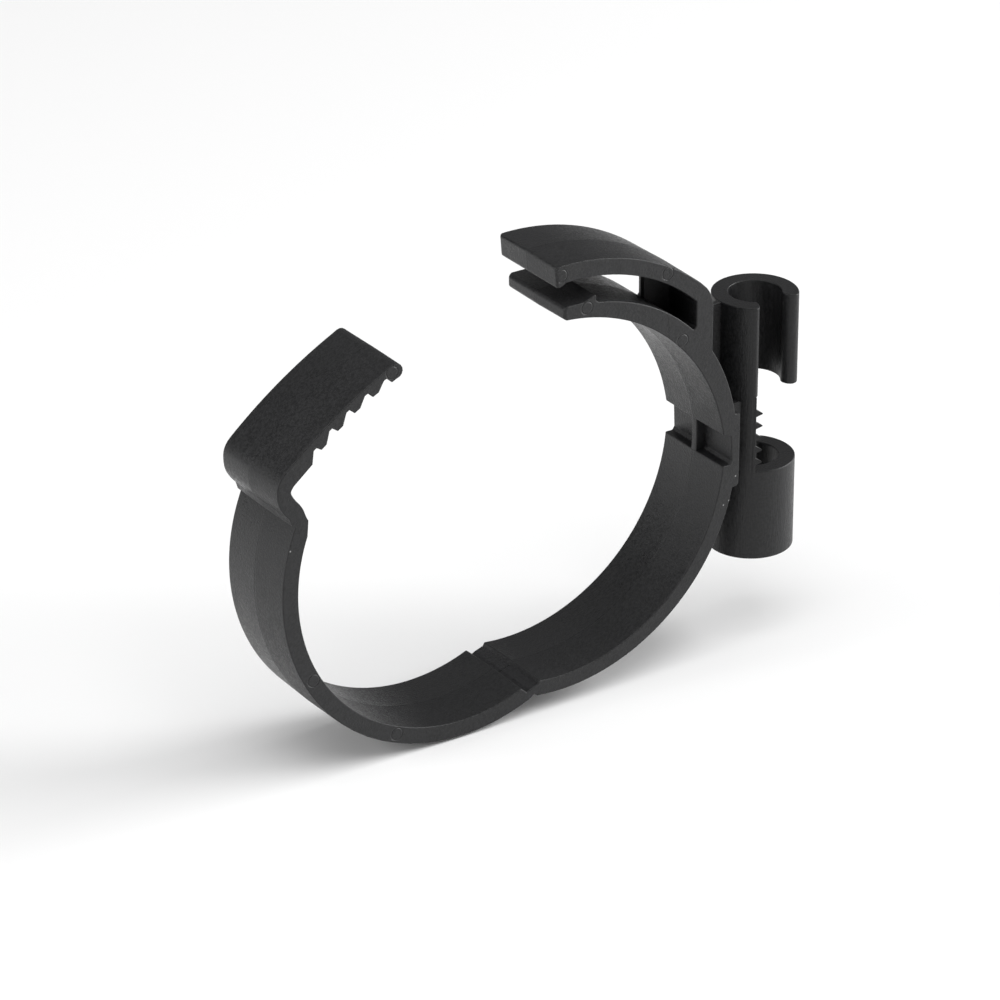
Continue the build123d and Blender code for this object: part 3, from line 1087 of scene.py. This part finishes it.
@dataclass(frozen=True)
class Studio:
    """Pale floor, soft boxes and the camera.

    Attributes:
        boxes: the lights.
        room: strength of the even light from all round.
        floor_span, floor_lines, floor_gap: the floor's width, its grid lines each way and its gap to the clamp.
        floor_colour, floor_rough, floor_specular: its finish.
        eye: where the camera stands, in metres.
        azimuth, elevation: where the camera is, seen from what it looks at, in degrees.
        lens, sensor: focal length and sensor width, in millimetres.
        clip: the nearest and farthest that the camera sees, in metres.
    """

    boxes: tuple[SoftBox, ...] = (
        SoftBox("key_over", -30, 70, 1.2, 1.0, 8.2),
        SoftBox("left", -100, 20, 1.2, 0.9, 8.5),
        SoftBox("right", 70, 20, 1.2, 0.9, 18.5),
        SoftBox("back", 170, 35, 1.2, 0.9, 0.4),
    )
    room: float = 0.19
    floor_span: float = 12.0
    floor_lines: int = 13
    floor_gap: float = 0.0002
    floor_colour: tuple[float, float, float, float] = (0.9, 0.9, 0.9, 1.0)
    floor_rough: float = 0.9
    floor_specular: float = 0.1
    eye: tuple[float, float, float] = (-0.3774, -0.5554, 0.3282)
    azimuth: float = -33.79
    elevation: float = 26.27
    lens: float = 186.2
    sensor: float = 36.0
    clip: Pair = (0.01, 50.0)

    def camera(self) -> None:
        """Stands the camera at the eye, looking along its azimuth and elevation with no roll."""
        back = toward(self.azimuth, self.elevation)
        lens = bpy.data.cameras.new("camera")
        lens.sensor_width, lens.lens = self.sensor, self.lens
        lens.clip_start, lens.clip_end = self.clip
        camera = bpy.data.objects.new("camera", lens)
        camera.rotation_mode = "QUATERNION"
        camera.location, camera.rotation_quaternion = self.eye, back.to_track_quat("Z", "Y")
        bpy.context.scene.collection.objects.link(camera)
        bpy.context.scene.camera = camera

    def floor(self, height: float) -> None:
        """A wide pale sheet, an even grid of flat squares.

        Args:
            height: its Z, in metres.
        """
        across = np.linspace(-self.floor_span / 2, self.floor_span / 2, self.floor_lines)
        x, y = np.meshgrid(across, across, indexing="ij")
        points = np.stack([x, y, np.full_like(x, height)], axis=-1)
        i = np.arange(x.size).reshape(x.shape)
        quads = np.stack([i[:-1, :-1], i[1:, :-1], i[1:, 1:], i[:-1, 1:]], axis=-1).reshape(-1, 4)
        mesh = bpy.data.meshes.new("floor")
        mesh.from_pydata(points.reshape(-1, 3).tolist(), [], quads.tolist())
        graph = Graph(bpy.data.materials.new("pale_floor"))
        finish = {
            "Base Color": self.floor_colour,
            "Roughness": self.floor_rough,
            "Specular IOR Level": self.floor_specular,
        }
        surface = graph.node("ShaderNodeBsdfPrincipled", {}, finish)
        graph.node("ShaderNodeOutputMaterial", {}, {"Surface": surface})
        mesh.materials.append(graph.owner)
        sheet = bpy.data.objects.new("floor", mesh)
        bpy.context.scene.collection.objects.link(sheet)

    def surroundings(self) -> None:
        """Even soft room light, white where the camera looks straight past the floor."""
        graph = Graph(bpy.data.worlds.new("room"))
        white = (1, 1, 1, 1)
        straight = graph.node("ShaderNodeLightPath", {}, {}, "Is Camera Ray")
        lit = graph.node("ShaderNodeBackground", {}, {"Color": white, "Strength": self.room})
        seen = graph.node("ShaderNodeBackground", {}, {"Color": white, "Strength": 1.0})
        mixed = graph.node("ShaderNodeMixShader", {}, {0: straight, 1: lit, 2: seen})
        graph.node("ShaderNodeOutputWorld", {}, {"Surface": mixed})
        bpy.context.scene.world = graph.owner

    def build(self) -> None:
        """Sets the whole studio round the clamp."""
        low, high = CAD_BOX
        for box in self.boxes:
            box.hang((low + high) / 2)
        self.floor(low.z - self.floor_gap)
        self.surroundings()
        self.camera()
        view = bpy.context.scene.view_settings
        view.view_transform, view.look, view.exposure, view.gamma = "Standard", "None", 0.0, 1.0


def main() -> None:
    """Builds the clamp and its studio."""
    logging.basicConfig(level=logging.INFO, format="%(name)s: %(message)s")
    on_ring = ((-0.2, 34.9), (18.2, 30.8), (4.2, 28.9), (21.0, 19.6))
    pins = (*on_ring, (-28.6, 27.3), (-42.2, -17.0), (-28.4, -29.8))
    motes = ((-45.6, 4.3), (31.0, -4.8), (29.9, -8.5), (28.9, -9.0))
    skin = SatinMoulding("satin_moulding", pins=pins, motes=motes).material()
    drawn = SatinMoulding("drawn_moulding", gloss=0.44, polish=0.0, drawn=6.0, grain=0.080).material()
    film = SatinMoulding("flexed_film", gloss=0.38, pale=(0.022, 0.022, 0.024), grain=0.010).material()
    RingMoulding().build(skin, film)
    RodCarrier().build(skin, drawn)
    Studio().build()


if __name__ == "__main__":
    main()
